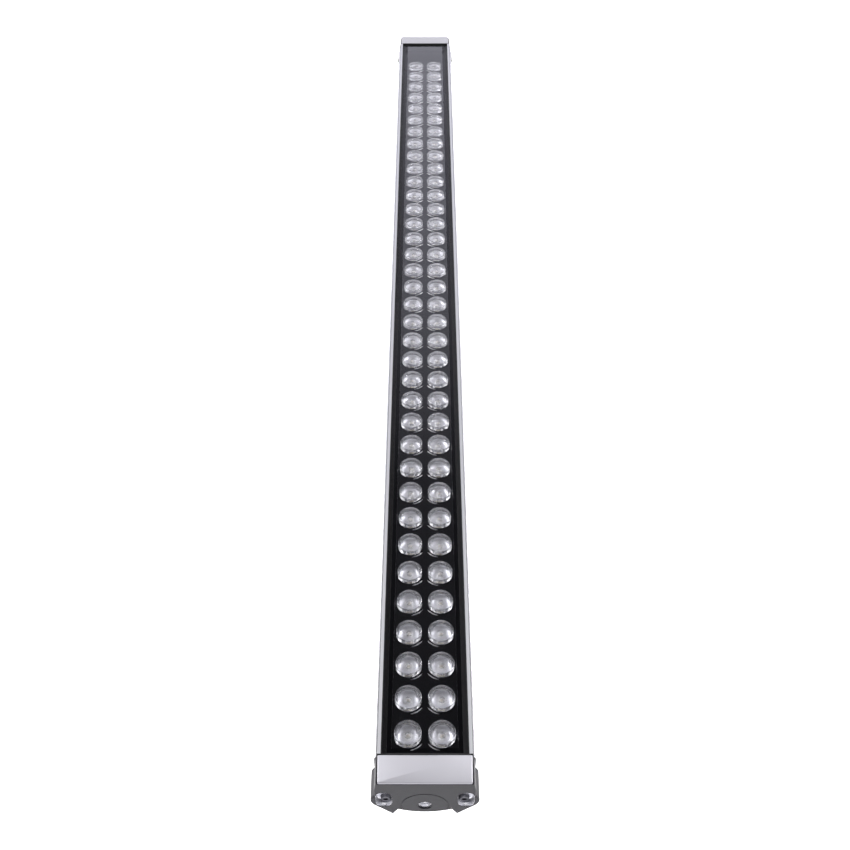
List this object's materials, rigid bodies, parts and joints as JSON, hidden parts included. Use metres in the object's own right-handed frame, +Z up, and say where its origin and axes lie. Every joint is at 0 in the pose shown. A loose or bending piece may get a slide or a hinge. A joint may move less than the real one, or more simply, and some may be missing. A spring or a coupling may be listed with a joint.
{
  "type": "led strip batten",
  "caption": "Slim linear LED batten: twin columns of clear lenses under flat glass in an aluminium extrusion with cast end caps and tilting feet.",
  "frame": {"origin": "on the surface the feet stand on, under the middle of the batten", "axes": "+Y along the batten, +X across it, +Z up out of the glass"},
  "size_m": [0.0674, 0.997, 0.0703],
  "materials": {
    "anodised_silver": "satin anodised",
    "satin_silver": "fine satin",
    "clear_glass": "clear",
    "clear_lens": "polished optical",
    "black_sealant": "matte",
    "black_mask": "fine textured",
    "black_plastic": "matte",
    "white_plastic": "matte",
    "white_board": "white solder mask",
    "green_board": "solder mask",
    "grey_pad": "matte",
    "led_package": "moulded",
    "cast_grey": "fine textured powder coat",
    "bracket_grey": "fine textured powder coat",
    "nickel_brass": "nickel plated",
    "steel": "stainless"
  },
  "bodies": {
    "batten": {"board_links": "white_plastic", "board_screws": "steel", "breather_vent": "black_plastic", "cable_gland_front": "nickel_brass", "cable_gland_rear": "nickel_brass", "cap_screws_front": "steel", "cap_screws_rear": "steel", "centre_insert_front": "steel", "centre_insert_rear": "steel", "cover_glass": "clear_glass", "driver_board": "green_board", "driver_components": "black_plastic", "ear_block_front": "cast_grey", "ear_block_rear": "cast_grey", "ear_screws_front": "steel", "ear_screws_rear": "steel", "end_cap_front": "cast_grey", "end_cap_rear": "cast_grey", "end_gasket_front": "black_sealant", "end_gasket_rear": "black_sealant", "end_top_plate_front": "satin_silver", "end_top_plate_rear": "satin_silver", "friction_washers_front": "white_plastic", "friction_washers_rear": "white_plastic", "gland_nut_front": "nickel_brass", "gland_nut_rear": "nickel_brass", "glass_gasket": "black_sealant", "glass_sealant": "black_sealant", "housing_profile": "anodised_silver", "led_board_1": "white_board", "led_board_2": "white_board", "led_board_3": "white_board", "led_board_4": "white_board", "led_emitters_1": "led_package", "led_emitters_2": "led_package", "led_emitters_3": "led_package", "led_emitters_4": "led_package", "lens_bank_1": "clear_lens", "lens_bank_2": "clear_lens", "lens_bank_3": "clear_lens", "lens_bank_4": "clear_lens", "lens_holders_1": "black_plastic", "lens_holders_2": "black_plastic", "lens_holders_3": "black_plastic", "lens_holders_4": "black_plastic", "lens_mask": "black_mask", "nut_bar_front": "steel", "nut_bar_rear": "steel", "pivot_bolt_front": "steel", "pivot_bolt_rear": "steel", "pivot_nut_front": "steel", "pivot_nut_rear": "steel", "supply_leads": "black_sealant", "thermal_pads": "grey_pad"},
    "foot_front": {"bracket_foot_front": "bracket_grey"},
    "foot_rear": {"bracket_foot_rear": "bracket_grey"}
  },
  "joints": [
    {"name": "tilt_front", "type": "hinge", "parent": "batten", "child": "foot_front", "pos_m": [0, -0.329, 0.0163], "axis": [0, 1, 0], "range_deg": [-60, 60]},
    {"name": "tilt_rear", "type": "hinge", "parent": "batten", "child": "foot_rear", "pos_m": [0, 0.329, 0.0163], "axis": [0, 1, 0], "range_deg": [-60, 60]}
  ]
}
